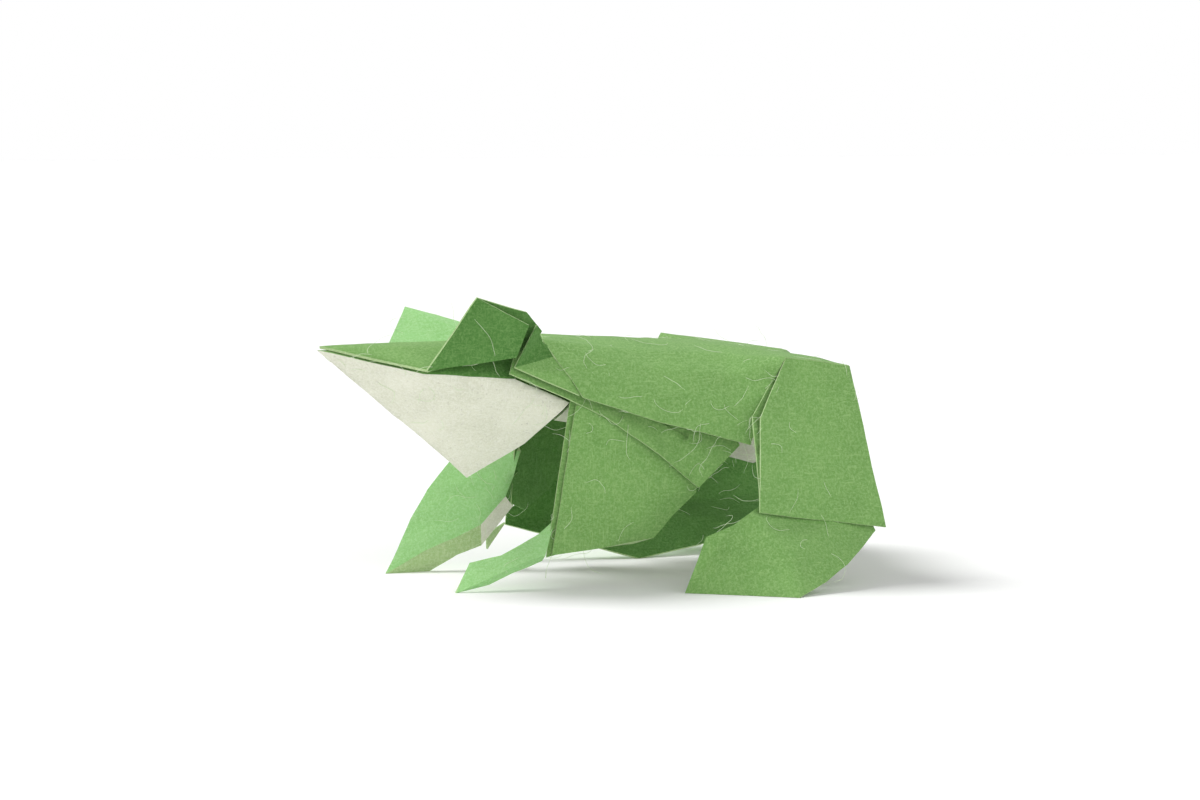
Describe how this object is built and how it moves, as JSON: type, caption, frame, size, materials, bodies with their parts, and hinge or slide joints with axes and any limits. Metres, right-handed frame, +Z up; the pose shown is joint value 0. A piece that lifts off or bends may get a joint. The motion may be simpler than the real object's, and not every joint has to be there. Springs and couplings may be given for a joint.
{
  "type": "origami frog",
  "caption": "Sitting frog folded from one square of two-coloured paper, with a pointed snout, raised eye flaps, a wide jaw, folded forelegs and tucked hind legs.",
  "frame": {"origin": "middle of the bounding box, on the surface that the feet stand on", "axes": "+Z up; the nose points along -X, so the frog's left side is -Y"},
  "size_m": [0.071, 0.0512, 0.0357],
  "materials": {
    "green_paper": "matt mulberry-type paper, green outside and cream on the reverse, with fine pale fibres"
  },
  "bodies": {
    "root": {"folded_sheet": "green_paper"}
  },
  "joints": []
}
